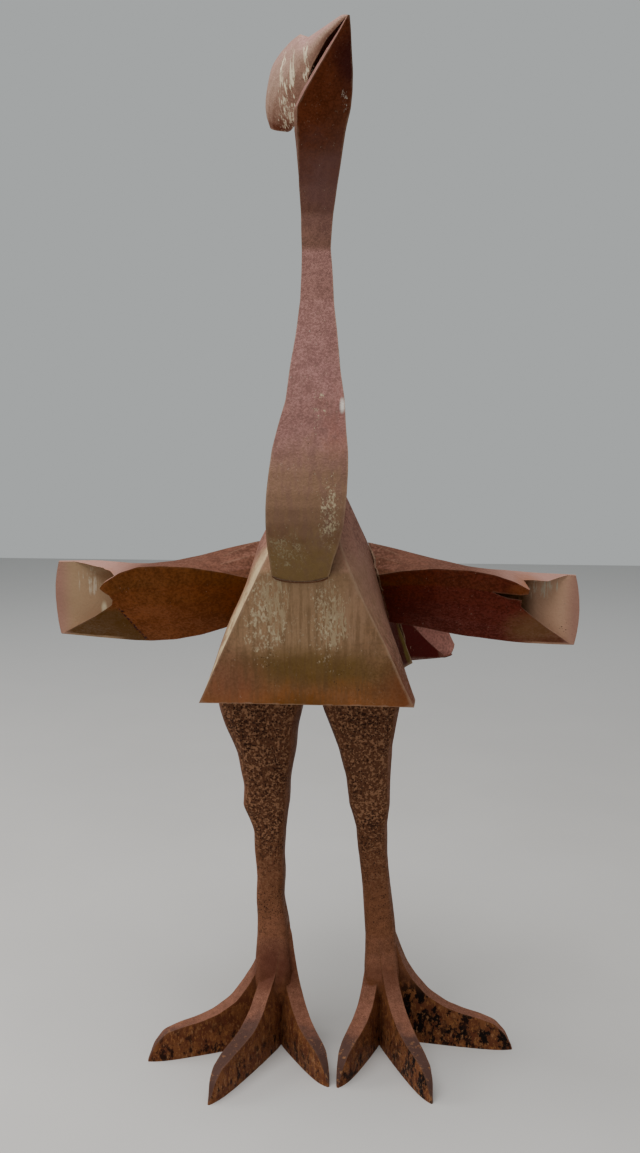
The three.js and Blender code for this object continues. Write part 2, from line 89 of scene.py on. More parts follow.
class RustSettings(bpy.types.PropertyGroup):
    """Colours of the weathered steel."""

    # Underside colour: partly damp rust, partly painted shade on faces that look down.
    under: colour("Underside", "Damp rust on faces that look down", (0.115, 0.022, 0.003))
    rust: colour("Rust", "Rust on upright faces", (0.19, 0.098, 0.045))
    # Sky colour: partly oxide film, partly a painted sheen of the sky on faces that look up.
    sky: colour("Sky sheen and film", "Mauve oxide film on faces that look up", (0.265, 0.118, 0.095))
    mineral: colour("Mineral", "Pale mineral spots and streaks", (0.52, 0.42, 0.27))
    algae: colour("Algae", "Olive film of algae", (0.12, 0.062, 0.005))
    orange: colour("Orange", "Fresh orange rust", (0.3, 0.1, 0.026))
    pit: colour("Pit", "Dark floor of the rust pits", (0.03, 0.013, 0.007))


class StageSettings(bpy.types.PropertyGroup):
    """Floor, light and camera."""

    floor_size: FloatProperty(
        name="Floor", description="Width of the floor", default=14.0, unit="LENGTH")
    floor_colour: colour("Floor colour", "Pale studio floor", (0.62, 0.61, 0.59))
    camera_place: FloatVectorProperty(
        name="Camera place", description="Where the camera stands", size=3, subtype="XYZ", unit="LENGTH",
        default=(0.2327, -2.449, 1.354))
    camera_turn: FloatProperty(
        name="Camera turn", description="How far the camera looks to the left of straight ahead",
        default=math.radians(5.0), subtype="ANGLE")
    camera_dip: FloatProperty(
        name="Camera dip", description="How far the camera looks down",
        default=math.atan(193.5 / 1250), subtype="ANGLE")
    lens: FloatProperty(
        name="Lens", description="Focal length on a frame 36 mm high", default=39.03)
    top_power: FloatProperty(
        name="Top light", description="Power of the broad light overhead", default=190.0)
    left_power: FloatProperty(
        name="Left light", description="Power of the light from the left", default=36.0)
    front_power: FloatProperty(
        name="Front light", description="Power of the fill light beside the camera", default=8.0)


def sheets():
    return bpy.context.scene.ostrich_sheets


def rusts():
    return bpy.context.scene.ostrich_rusts


def stage():
    return bpy.context.scene.ostrich_stage


# Meshes from whole arrays

HALVINGS = 14
RELAX_STEPS = (0.5, -0.52)
CORNER_PULL = 0.8
FOLD_SPREAD = 5
WAVES = 10
SOLE_HEIGHT = 0.05
SCALE_CELLS = (0.011, 0.0062)


def unit(vectors):
    """The same directions with length one."""
    return vectors / np.maximum(np.linalg.norm(vectors, axis=1, keepdims=True), 1e-16)


def columns(*parts):
    """Arrays side by side, as the last axis of one array."""
    return np.stack(parts, axis=-1)


def face_normals(points, corners):
    """Normals of the triangles, with twice their areas as lengths."""
    a, b, c = (points[corners[:, k]] for k in range(3))
    return np.cross(b - a, c - a)


def node_arrays(node):
    """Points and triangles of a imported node, with equal points joined."""
    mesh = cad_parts[node].data
    mesh.calc_loop_triangles()
    points = np.empty(len(mesh.vertices) * 3, np.float32)
    corners = np.empty(len(mesh.loop_triangles) * 3, np.int32)
    mesh.vertices.foreach_get("co", points)
    mesh.loop_triangles.foreach_get("vertices", corners)
    points, back = np.unique(np.round(points.reshape(-1, 3), 7), axis=0, return_inverse=True)
    corners = back.reshape(-1)[corners].reshape(-1, 3)
    whole = (corners != np.roll(corners, -1, axis=1)).all(axis=1)
    return points.astype(np.float64), corners[whole]


def edge_table(corners, count):
    """Every edge once as a pair of points, and which edge each side of each triangle is."""
    ends = np.sort(np.stack([corners, np.roll(corners, -1, axis=1)], axis=-1).reshape(-1, 2), axis=1)
    keys, which = np.unique(ends[:, 0].astype(np.int64) * count + ends[:, 1], return_inverse=True)
    return columns(keys // count, keys % count), which.reshape(-1, 3), keys


def folds_of(points, corners, angle):
    """Edges between two triangles whose normals differ by more than the angle."""
    edges, which, keys = edge_table(corners, len(points))
    normal = unit(face_normals(points, corners))
    order = np.argsort(which.reshape(-1), kind="stable")
    uses = np.bincount(which.reshape(-1), minlength=len(edges))
    first = np.cumsum(uses) - uses
    one = normal[order[first] // 3]
    other = normal[order[first + uses - 1] // 3]
    return keys[(one * other).sum(axis=1) < math.cos(angle)]


def split_long(points, corners, folds, longest):
    """Halves every edge longer than a length, over and over; halves of a fold stay folds."""
    for _ in range(HALVINGS):
        count = len(points)
        edges, which, keys = edge_table(corners, count)
        fold = np.isin(keys, folds)
        ends = points[edges]
        cut = np.linalg.norm(ends[:, 0] - ends[:, 1], axis=1) > longest
        if not cut.any():
            break
        middle = np.where(cut, count + np.cumsum(cut) - 1, -1)
        points = np.concatenate([points, ends[cut].mean(axis=1)])
        grown = len(points)
        kept = edges[fold & ~cut]
        halved = edges[fold & cut]
        mids = middle[fold & cut]
        folds = np.concatenate([
            kept[:, 0] * grown + kept[:, 1], halved[:, 0] * grown + mids, halved[:, 1] * grown + mids])
        marks = middle[which]
        number = (marks >= 0).sum(axis=1)
        made = [corners[number == 0]]
        v, m = corners[number == 3], marks[number == 3]
        for trio in ((v[:, 0], m[:, 0], m[:, 2]), (m[:, 0], v[:, 1], m[:, 1]),
                     (m[:, 2], m[:, 1], v[:, 2]), (m[:, 0], m[:, 1], m[:, 2])):
            made.append(columns(*trio))
        v, m = turned(corners[number == 1], marks[number == 1], 1)
        made += [columns(v[:, 0], m[:, 0], v[:, 2]), columns(m[:, 0], v[:, 1], v[:, 2])]
        v, m = turned(corners[number == 2], marks[number == 2], 2)
        made.append(columns(m[:, 0], v[:, 1], m[:, 1]))
        short = (np.linalg.norm(points[v[:, 0]] - points[m[:, 1]], axis=1)
                 < np.linalg.norm(points[m[:, 0]] - points[v[:, 2]], axis=1))
        far = np.where(short, m[:, 1], v[:, 2])
        near = np.where(short, v[:, 0], m[:, 0])
        made += [columns(v[:, 0], m[:, 0], far), columns(near, m[:, 1], v[:, 2])]
        corners = np.concatenate(made)
    return points, corners, folds


def turned(corners, marks, cuts):
    """Turns triangles so that a single cut side comes first, or a single whole side comes last."""
    if cuts == 1:
        lead = np.argmax(marks >= 0, axis=1)
    else:
        lead = (np.argmax(marks < 0, axis=1) + 1) % 3
    index = (lead[:, None] + np.arange(3)) % 3
    return np.take_along_axis(corners, index, axis=1), np.take_along_axis(marks, index, axis=1)


def neighbour_mean(values, start, end, count):
    """Mean over the neighbours of each point, for each column of values."""
    total = np.maximum(np.bincount(start, minlength=count), 1)
    return columns(*(np.bincount(start, column, count) / total for column in values[end].T))


def relaxed(points, corners, folds, rounds):
    """Rounds off the facets: each point goes to the mean of its neighbours and then a little back.

    A point on a fold follows the fold alone, and a corner of a fold stays where it is.
    Also gives how close each point is to a fold, from 0 to 1.
    """
    count = len(points)
    edges, _, keys = edge_table(corners, count)
    fold = np.isin(keys, folds)
    start = np.concatenate([edges[:, 0], edges[:, 1]])
    end = np.concatenate([edges[:, 1], edges[:, 0]])
    on_fold = np.concatenate([fold, fold])
    folded = np.bincount(start[on_fold], minlength=count)
    pull = unit(points[end[on_fold]] - points[start[on_fold]])
    bend = columns(*(np.bincount(start[on_fold], column, count) for column in pull.T))
    sharp = np.linalg.norm(bend, axis=1) > CORNER_PULL
    fixed = (folded == 1) | (folded > 2) | ((folded == 2) & sharp)
    use = ((folded[start] == 0) | on_fold) & ~fixed[start]
    moving = np.bincount(start[use], minlength=count) > 0
    near = (folded > 0).astype(float)[:, None]
    spread = near.copy()
    for _ in range(FOLD_SPREAD):
        spread = np.maximum(near, neighbour_mean(spread, start, end, count))
    for step in RELAX_STEPS * rounds:
        mean = neighbour_mean(points, start[use], end[use], count)
        points = points + step * np.where(moving[:, None], mean - points, 0.0)
    return points, spread[:, 0]


def wander(points, seed, size, length):
    """Slow shift of the sheets: a sum of sine waves in seeded directions, alike on both faces."""
    rng = np.random.default_rng(seed)
    shift = np.zeros_like(points)
    for _ in range(WAVES):
        wave = rng.normal(size=3)
        wave *= 2 * math.pi / (length * rng.uniform(0.6, 1.7)) / np.linalg.norm(wave)
        push = rng.normal(size=3) * size / 3
        shift += np.sin(points @ wave + rng.uniform(0, 2 * math.pi))[:, None] * push
    return shift


def lattice_noise(points, cell, seed):
    """Value noise from -1 to 1: hashed random numbers on a cubic lattice, blended across each cell."""
    place = points / cell + 1000.0
    corner = np.floor(place).astype(np.int64)
    part = place - corner
    part = part * part * (3 - 2 * part)
    total = np.zeros(len(points))
    for offset in np.ndindex(2, 2, 2):
        c = corner + np.array(offset)
        mixed = (c[:, 0] * 73856093) ^ (c[:, 1] * 19349663) ^ (c[:, 2] * 83492791) ^ (seed * 2654435)
        mixed = (mixed * 1103515245 + 12345) & 0x7FFFFFFF
        mixed = (mixed ^ (mixed >> 13)) * 1274126177 & 0x7FFFFFFF
        value = (mixed & 0xFFFF) / 32767.5 - 1
        weight = np.ones(len(points))
        for axis in range(3):
            weight *= part[:, axis] if offset[axis] else 1 - part[:, axis]
        total += value * weight
    return total


def point_normals(points, corners):
    """Normals of the points, from the triangles around each, weighted by their areas."""
    normal = face_normals(points, corners)
    total = np.zeros_like(points)
    for k in range(3):
        for axis in range(3):
            total[:, axis] += np.bincount(corners[:, k], normal[:, axis], len(points))
    return unit(total)


def make_piece(name, points, corners, material, node=None, fold=None, angle=None):
    """Puts arrays into a mesh object that rides on the body and stands for its CAD node."""
    mesh = bpy.data.meshes.new(name)
    mesh.vertices.add(len(points))
    mesh.vertices.foreach_set("co", points.astype(np.float32).reshape(-1))
    mesh.loops.add(corners.size)
    mesh.loops.foreach_set("vertex_index", corners.astype(np.int32).reshape(-1))
    mesh.polygons.add(len(corners))
    mesh.polygons.foreach_set("loop_start", np.arange(0, corners.size, 3, dtype=np.int32))
    mesh.update(calc_edges=True)
    mesh.validate()
    mesh.polygons.foreach_set("use_smooth", np.ones(len(mesh.polygons), bool))
    if angle is not None:
        mesh.set_sharp_from_angle(angle=angle)
    if fold is not None:
        layer = mesh.attributes.new("fold", "FLOAT", "POINT")
        layer.data.foreach_set("value", fold.astype(np.float32))
    mesh.materials.append(material)
    piece = bpy.data.objects.new(name, mesh)
    bpy.context.scene.collection.objects.link(piece)
    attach(piece, BODY)
    if node:
        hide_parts(node)
    return piece


SHEETS = {}


def make_sheet(node, material, cell, seed, rounds=14, scale=0.0, angle=None):
    """Finished sheet from its CAD node: split fine, facets rounded off, dents and rust scale added."""
    settings = sheets()
    angle = angle or settings.fold_angle
    points, corners = node_arrays(node)
    folds = folds_of(points, corners, angle)
    points, corners, folds = split_long(points, corners, folds, cell)
    points, fold = relaxed(points, corners, folds, rounds)
    above_sole = np.clip(points[:, 2] / SOLE_HEIGHT, 0, 1)[:, None]
    points = points + wander(points, seed, settings.dent, settings.dent_length) * above_sole
    if scale > 0:
        coarse, fine = (lattice_noise(points, size, seed + k) for k, size in enumerate(SCALE_CELLS))
        depth = np.clip(0.6 * coarse + 0.4 * fine, 0, 1) * scale
        points = points - point_normals(points, corners) * depth[:, None] * above_sole
    SHEETS[node] = points
    name = f"{node}_sheet"
    return make_piece(name, points, corners, material, node, fold, angle)


# Weld beads

BATCH = 400
ANGLE_STEP = math.radians(5)
OPEN_GAP = math.radians(28)
BEAD_SIDES = 10
RIPPLE_STEPS = 4
SWELL_MARKS = 40
BACK_SPACING = 0.012
BACK_DEPTH = 0.004


def beside(points, others, reach):
    """Points whose cell, in a grid as wide as the reach, is or touches a cell with one of the others."""
    low = np.minimum(points.min(axis=0), others.min(axis=0)) - 2 * reach
    place = np.floor((points - low) / reach).astype(np.int64)
    held = np.floor((others - low) / reach).astype(np.int64)
    weights = np.array([1 << 40, 1 << 20, 1])
    held = np.unique(held @ weights)
    hit = np.zeros(len(points), bool)
    for shift in np.ndindex(3, 3, 3):
        hit |= np.isin((place + np.array(shift) - 1) @ weights, held)
    return points[hit]


def seam_between(node, other, reach):
    """Path along the outer rim of a sheet where it meets another one.

    Points of the first sheet that lie near the second are put in order by their angle around their own
    middle, and the farthest point out at each angle is kept. A wide gap in the angles leaves the path open.
    """
    near = beside(SHEETS[node], SHEETS[other], reach)
    target = beside(SHEETS[other], near, reach)
    close = []
    for part in np.array_split(near, max(1, len(near) // BATCH)):
        square = (part ** 2).sum(axis=1)[:, None] + (target ** 2).sum(axis=1)[None] - 2 * part @ target.T
        close.append(part[square.min(axis=1) < reach ** 2])
    close = np.concatenate(close)
    middle = (close.max(axis=0) + close.min(axis=0)) / 2
    _, _, axes = np.linalg.svd(close - close.mean(axis=0), full_matrices=False)
    flat = (close - middle) @ axes[:2].T
    angle = np.arctan2(flat[:, 1], flat[:, 0])
    step = np.floor((angle + math.pi) / ANGLE_STEP).astype(int)
    order = np.lexsort((np.hypot(flat[:, 0], flat[:, 1]), step))
    last = np.append(np.diff(step[order]) > 0, True)
    chosen = order[last]
    angles = angle[chosen]
    path = close[chosen]
    gaps = np.append(np.diff(angles), angles[0] + 2 * math.pi - angles[-1])
    widest = int(np.argmax(gaps))
    is_open = gaps[widest] > OPEN_GAP
    if is_open:
        path = np.roll(path, -(widest + 1), axis=0)
    return path, not is_open


def even_path(path, closed, spacing, rounds=2):
    """The same path with even spacing, after its corners are eased."""
    for _ in range(rounds):
        before, after = (path[-1:], path[:1]) if closed else (path[:1], path[-1:])
        around = np.concatenate([before, path, after])
        path = 0.5 * around[1:-1] + 0.25 * (around[:-2] + around[2:])
    if closed:
        path = np.concatenate([path, path[:1]])
    run = np.append(0, np.cumsum(np.linalg.norm(np.diff(path, axis=0), axis=1)))
    number = max(8, int(run[-1] / spacing))
    marks = np.linspace(0, run[-1], number + 1)
    even = columns(*(np.interp(marks, run, column) for column in path.T))
    return even[:-1] if closed else even


def make_bead(name, path, closed, material, seed):
    """Weld bead: a round bar along a path whose radius swells with every ripple of the weld."""
    settings = sheets()
    spacing = settings.ripple / RIPPLE_STEPS
    path = even_path(path, closed, spacing)
    count = len(path)
    ahead = np.roll(path, -1, axis=0) - np.roll(path, 1, axis=0)
    if not closed:
        ahead[0], ahead[-1] = path[1] - path[0], path[-1] - path[-2]
    ahead = unit(ahead)
    _, _, axes = np.linalg.svd(path - path.mean(axis=0), full_matrices=False)
    side = unit(np.cross(ahead, axes[2]))
    lift = np.cross(side, ahead)
    run = np.arange(count) * spacing
    rng = np.random.default_rng(seed)
    swell = np.interp(run, np.linspace(0, run[-1] + 1e-9, SWELL_MARKS), rng.uniform(0.75, 1.2, SWELL_MARKS))
    radius = settings.bead * swell * (1 + 0.16 * np.abs(np.sin(math.pi * run / settings.ripple)))
    if not closed:
        taper = np.minimum(np.arange(count), np.arange(count)[::-1])
        radius = radius * np.sqrt(np.clip((taper + 0.15) / 4, 0, 1))
    turn = np.arange(BEAD_SIDES) * 2 * math.pi / BEAD_SIDES
    ring = np.cos(turn)[None, :, None] * side[:, None] + np.sin(turn)[None, :, None] * lift[:, None]
    points = (path[:, None] + radius[:, None, None] * ring).reshape(-1, 3)
    rows = np.arange(count if closed else count - 1)[:, None] * BEAD_SIDES
    here = np.arange(BEAD_SIDES)
    following = (here + 1) % BEAD_SIDES
    a = (rows + here).reshape(-1)
    b = (rows + following).reshape(-1)
    c = (b + BEAD_SIDES) % len(points)
    d = (a + BEAD_SIDES) % len(points)
    corners = np.concatenate([columns(a, b, c), columns(a, c, d)])
    if not closed:
        points = np.concatenate([points, path[:1], path[-1:]])
        first, end = np.full(BEAD_SIDES, len(points) - 2), (count - 1) * BEAD_SIDES
        nose = columns(first, following, here)
        tail = columns(first + 1, end + here, end + following)
        corners = np.concatenate([corners, nose, tail])
    a, b, c = (points[corners[:, k]] for k in range(3))
    if (a * np.cross(b, c)).sum() < 0:
        corners = corners[:, ::-1]
    return make_piece(name, points, corners, material)


def back_line(node, low, high):
    """Path up the back of a hollow form: at each level the middle of the points farthest back."""
    points = SHEETS[node]
    points = points[(points[:, 2] > low) & (points[:, 2] < high)]
    level = ((points[:, 2] - low) / BACK_SPACING).astype(int)
    count = level.max() + 1
    back = np.full(count, -9.0)
    np.maximum.at(back, level, points[:, 1])
    rear = points[:, 1] > back[level] - BACK_DEPTH
    number = np.maximum(np.bincount(level[rear], minlength=count), 1)
    x = np.bincount(level[rear], points[rear, 0], count) / number
    z = low + (np.arange(count) + 0.5) * BACK_SPACING
    return columns(x, back, z)


# Shader nodes


def put(tree, socket, value):
    """Links a socket to another one, or gives it a plain value."""
    if isinstance(value, bpy.types.NodeSocket):
        tree.links.new(value, socket)
    elif socket.type == "RGBA":
        socket.default_value = (*value[:3], 1.0)
    else:
        socket.default_value = value


def wire(tree, kind, inputs=None, **settings):
    """Adds a shader node; each input is a socket to link or a plain value."""
    node = tree.nodes.new(kind)
    for key, value in settings.items():
        setattr(node, key, value)
    for key, value in (inputs or {}).items():
        put(tree, node.inputs[key], value)
    return node


def number(tree, operation, *values):
    """Math node on one to three values; gives its output socket."""
    return wire(tree, "ShaderNodeMath", dict(enumerate(values)), operation=operation).outputs[0]


def times(tree, product, *others):
    """Product of all the values."""
    for value in others:
        product = number(tree, "MULTIPLY", product, value)
    return product


def scale_add(tree, value, factor, rest):
    """Value times factor, plus the rest."""
    return number(tree, "MULTIPLY_ADD", value, factor, rest)


def vector_math(tree, operation, *values):
    """Vector math node; gives its vector, or its value where the operation is a length."""
    node = wire(tree, "ShaderNodeVectorMath", dict(enumerate(values)), operation=operation)
    return node.outputs["Value" if operation == "LENGTH" else "Vector"]


def drawn_out(tree, vector, share_of_height):
    """The place with less height, so that a noise there is drawn out along the vertical."""
    return vector_math(tree, "MULTIPLY", vector, (1.0, 1.0, share_of_height))


def ramp(tree, value, low, high, start=0.0, end=1.0):
    """Smooth step from start to end while a value goes from low to high."""
    inputs = {"Value": value, "From Min": low, "From Max": high, "To Min": start, "To Max": end}
    return wire(tree, "ShaderNodeMapRange", inputs, interpolation_type="SMOOTHSTEP").outputs["Result"]


def blend(tree, mask, below, above):
    """Colour above laid over the colour below where the mask is 1."""
    return wire(tree, "ShaderNodeMix", {0: mask, 6: below, 7: above}, data_type="RGBA").outputs[2]


def noise(tree, vector, scale, detail=5.0, rough=0.6):
    """Fractal noise from 0 to 1."""
    inputs = {"Vector": vector, "Scale": scale, "Detail": detail, "Roughness": rough}
    return wire(tree, "ShaderNodeTexNoise", inputs).outputs["Fac"]


def axis_of(tree, vector, axis):
    """One axis of a vector."""
    return wire(tree, "ShaderNodeSeparateXYZ", {0: vector}).outputs[axis]


def looking(tree, axis):
    """How far a face looks along an axis, from -1 to 1."""
    return axis_of(tree, wire(tree, "ShaderNodeTexCoord").outputs["Normal"], axis)


def facing(tree, axis, low, high):
    """Mask of the faces that look along an axis."""
    return ramp(tree, looking(tree, axis), low, high)


# Shader groups

KINDS = {"c": "NodeSocketColor", "f": "NodeSocketFloat", "v": "NodeSocketVector"}


def group(name, inputs, build, outputs=(("f", "Mask"),)):
    """Shader group whose first input is the place; the rest are triples of kind letter, name and value."""
    if name in bpy.data.node_groups:
        return bpy.data.node_groups[name]
    tree = bpy.data.node_groups.new(name, "ShaderNodeTree")
    for kind, label, value in [("v", "Vector", None), *inputs]:
        socket = tree.interface.new_socket(label, in_out="INPUT", socket_type=KINDS[kind])
        if value is not None:
            socket.default_value = value
    for kind, label in outputs:
        tree.interface.new_socket(label, in_out="OUTPUT", socket_type=KINDS[kind])
    result = build(tree, tree.nodes.new("NodeGroupInput").outputs)
    out = tree.nodes.new("NodeGroupOutput")
    for label, socket in result.items():
        tree.links.new(socket, out.inputs[label])
    return tree


def mottling():
    """Cloudy rust: three sizes of noise added up and spread between a dark and a light share."""
    def build(tree, given):
        vector, scale, strength = given["Vector"], given["Scale"], given["Strength"]
        broad = noise(tree, vector, scale, 6.0, 0.62)
        middle = noise(tree, vector, times(tree, scale, 5.0), 5.0, 0.62)
        fine = noise(tree, vector, times(tree, scale, 24.0), 3.0, 0.6)
        total = scale_add(tree, fine, 0.5, scale_add(tree, broad, 0.2, times(tree, middle, 0.3)))
        dark = number(tree, "SUBTRACT", 1.0, strength)
        light = scale_add(tree, strength, 0.75, 1.0)
        shade = ramp(tree, total, 0.39, 0.61, dark, light)
        return {"Mask": ramp(tree, total, 0.39, 0.61), "Shade": shade, "Fine": fine}
    return group("Rust mottling", [("f", "Scale", 8.0), ("f", "Strength", 0.3)], build,
                 [("f", "Mask"), ("f", "Shade"), ("f", "Fine")])


def facing_shade_and_sheen():
    """Rust colour by how far a face looks up: darker below, partly damp rust and partly painted shade; plain
    upright; above, a mauve oxide film with a painted sheen of the sky.
    """
    def build(tree, given):
        drift = number(tree, "SUBTRACT", noise(tree, given["Vector"], 9.0, 4.0, 0.6), 0.5)
        up = scale_add(tree, drift, 0.3, axis_of(tree, given["Facing"], "Z"))
        colour = blend(tree, ramp(tree, up, -0.62, 0.02), given["Under"], given["Upright"])
        return {"Color": blend(tree, ramp(tree, up, -0.15, 0.75), colour, given["Sky"])}
    colours = [("c", name, None) for name in ("Under", "Upright", "Sky")]
    return group("Sky sheen and film", [("v", "Facing", None), *colours], build, [("c", "Color")])


def pits():
    """Rust pits: round cells of random size, gathered where a broad noise is high."""
    def build(tree, given):
        vector = given["Vector"]
        inputs = {"Vector": vector, "Scale": 160.0, "Detail": 2.0}
        warp = wire(tree, "ShaderNodeTexNoise", inputs).outputs["Color"]
        shifted = vector_math(tree, "MULTIPLY_ADD", warp, (0.004, 0.004, 0.004), vector)
        cells = wire(tree, "ShaderNodeTexVoronoi", {"Vector": shifted, "Scale": given["Scale"]}).outputs
        gate = scale_add(tree, noise(tree, vector, 14.0, 5.0, 0.65), 1.2, given["Density"])
        size = times(tree, axis_of(tree, cells["Color"], "X"), gate)
        depth = number(tree, "SUBTRACT", size, cells["Distance"])
        return {"Mask": ramp(tree, depth, 0.0, 0.14)}
    return group("Pits", [("f", "Scale", 260.0), ("f", "Density", 0.0)], build)


def mineral_spots():
    """Pale crusts: ragged noise that breaks through where the cover is high."""
    def build(tree, given):
        vector, scale = given["Vector"], given["Scale"]
        ragged = noise(tree, drawn_out(tree, vector, 0.6), scale, 7.0, 0.72)
        clump = number(tree, "SUBTRACT", noise(tree, vector, times(tree, scale, 0.24), 4.0, 0.6), 0.5)
        total = scale_add(tree, clump, 0.4, scale_add(tree, given["Cover"], 0.2, ragged))
        return {"Mask": ramp(tree, total, 0.675, 0.8, 0.0, 0.85)}
    return group("Mineral spots", [("f", "Scale", 120.0), ("f", "Cover", 0.0)], build)


def streaks():
    """Runs of washed-down deposit: noise drawn out along the vertical."""
    def build(tree, given):
        broken = noise(tree, given["Vector"], 60.0, 5.0, 0.7)
        thin = noise(tree, drawn_out(tree, given["Vector"], 0.11), given["Scale"], 4.0, 0.6)
        total = scale_add(tree, given["Cover"], 0.29, scale_add(tree, broken, 0.4, thin))
        return {"Mask": ramp(tree, total, 0.95, 1.07)}
    return group("Streaks", [("f", "Scale", 130.0), ("f", "Cover", 0.0)], build)


def patch():
    """Soft blob: 1 at its middle and 0 at its rim, with the three half widths given."""
    def build(tree, given):
        away = vector_math(tree, "SUBTRACT", given["Vector"], given["Middle"])
        length = vector_math(tree, "LENGTH", vector_math(tree, "DIVIDE", away, given["Reach"]))
        edge = number(tree, "SUBTRACT", noise(tree, given["Vector"], 30.0, 4.0, 0.6), 0.5)
        return {"Mask": ramp(tree, scale_add(tree, edge, 0.7, length), 1.0, 0.25)}
    return group("Patch", [("v", "Middle", None), ("v", "Reach", None)], build)


def fold_wear_and_glint():
    """Paler folds, partly steel laid bare and partly painted highlights along them: closeness to a fold
    broken up by noise.
    """
    def build(tree, given):
        total = scale_add(tree, noise(tree, given["Vector"], 70.0, 4.0, 0.65), 0.7, given["Fold"])
        return {"Mask": times(tree, ramp(tree, total, 0.85, 1.35), given["Amount"])}
    return group("Fold rub and glint", [("f", "Fold", 0.0), ("f", "Amount", 0.5)], build)


def use(tree, made, vector, **inputs):
    """Places a shader group in a material and gives its outputs."""
    node = tree.nodes.new("ShaderNodeGroup")
    node.node_tree = made
    for key, value in {"Vector": vector, **inputs}.items():
        put(tree, node.inputs[key], value)
    return node.outputs


# Finishes

BARE_ROUGHNESS, DUSTY_ROUGHNESS = 0.5, 0.8
METALLIC = 0.12
SPECULAR = 0.14


def steel(name, layers, under=None, rust=None, sky=None, mottle=(8.0, 0.3), wear_and_glint=0.35,
          worn_and_glint=(0.36, 0.24, 0.16), bump=0.0009):
    """Weathered steel: a rust colour by facing, with painted shade on faces that look down and a painted sky
    sheen on faces that look up, mottled, then layers of colour over it.

    A layer is a function of the tree and the place that gives a mask, then its colour and how far it
    stands up (a pit stands down).
    """
    made = rusts()
    material = bpy.data.materials.new(name)
    material.use_nodes = True
    tree = material.node_tree
    shader = tree.nodes["Principled BSDF"].inputs
    place = wire(tree, "ShaderNodeTexCoord").outputs
    vector = place["Object"]
    # Colour by facing: painted shade below, painted sky sheen above, over the rust.
    film = use(tree, facing_shade_and_sheen(), vector, Facing=place["Normal"], Under=under or made.under,
               Upright=rust or made.rust, Sky=sky or made.sky)
    spots = use(tree, mottling(), vector, Scale=mottle[0], Strength=mottle[1])
    inputs = {0: film["Color"], "Scale": spots["Shade"]}
    colour = wire(tree, "ShaderNodeVectorMath", inputs, operation="SCALE").outputs[0]
    height = scale_add(tree, spots["Fine"], 0.5, times(tree, spots["Mask"], 0.35))
    for mask_of, layer_colour, rise in layers:
        mask = mask_of(tree, vector)
        colour = blend(tree, mask, colour, layer_colour)
        if rise:
            height = scale_add(tree, mask, rise, height)
    # The fold colour goes along the folds: partly steel laid bare, partly painted highlights where the folds
    # catch the light.
    if wear_and_glint:
        fold = wire(tree, "ShaderNodeAttribute", attribute_name="fold").outputs["Fac"]
        rubbed_and_glint = use(tree, fold_wear_and_glint(), vector, Fold=fold, Amount=wear_and_glint)["Mask"]
        colour = blend(tree, rubbed_and_glint, colour, worn_and_glint)
    relief = wire(tree, "ShaderNodeBump", {"Height": height, "Strength": 0.7, "Distance": bump})
    put(tree, shader["Base Color"], colour)
    put(tree, shader["Roughness"], ramp(tree, spots["Mask"], 0.0, 1.0, DUSTY_ROUGHNESS, BARE_ROUGHNESS))
    put(tree, shader["Metallic"], METALLIC)
    put(tree, shader["Specular IOR Level"], SPECULAR)
    put(tree, shader["Normal"], relief.outputs["Normal"])
    return material


def in_patch(middle, reach, inner):
    """Mask inside a blob, from a function of the tree, the place and the blob."""
    def mask(tree, vector):
        return inner(tree, vector, use(tree, patch(), vector, Middle=middle, Reach=reach)["Mask"])
    return mask


def share(amount):
    """Inner mask that thins a blob to a share of its strength."""
    return lambda tree, vector, blob: times(tree, blob, amount)


def crust(scale):
    """Inner mask of mineral spots that gather towards a blob's middle."""
    return lambda tree, vector, blob: use(tree, mineral_spots(), vector, Scale=scale, Cover=blob)["Mask"]


def runs(scale):
    """Inner mask of streaks that gather towards a blob's middle."""
    return lambda tree, vector, blob: use(tree, streaks(), vector, Scale=scale, Cover=blob)["Mask"]


def rain_marks(amount):
    """Inner mask of faint upright marks that rain leaves, inside a blob."""
    def inner(tree, vector, blob):
        lines = noise(tree, drawn_out(tree, vector, 0.12), 120.0, 5.0, 0.6)
        return times(tree, blob, ramp(tree, lines, 0.42, 0.62, 0.0, amount))
    return inner


def stain(middle, reach, strength, colour):
    """Layer that tints a blob."""
    return in_patch(middle, reach, share(strength)), colour, 0


def pitting(scale, density):
    """Mask of rust pits all over."""
    return lambda tree, vector: use(tree, pits(), vector, Scale=scale, Density=density)["Mask"]


def speckle(scale, cover):
    """Mask of sparse mineral spots all over."""
    return lambda tree, vector: use(tree, mineral_spots(), vector, Scale=scale, Cover=cover)["Mask"]


def spots_and_pits():
    """Sparse mineral spots and pits that the wings and the tail share."""
    return [(speckle(230.0, 0.14), (0.38, 0.27, 0.19), 0.3), (pitting(240.0, -0.5), rusts().pit, -0.5)]


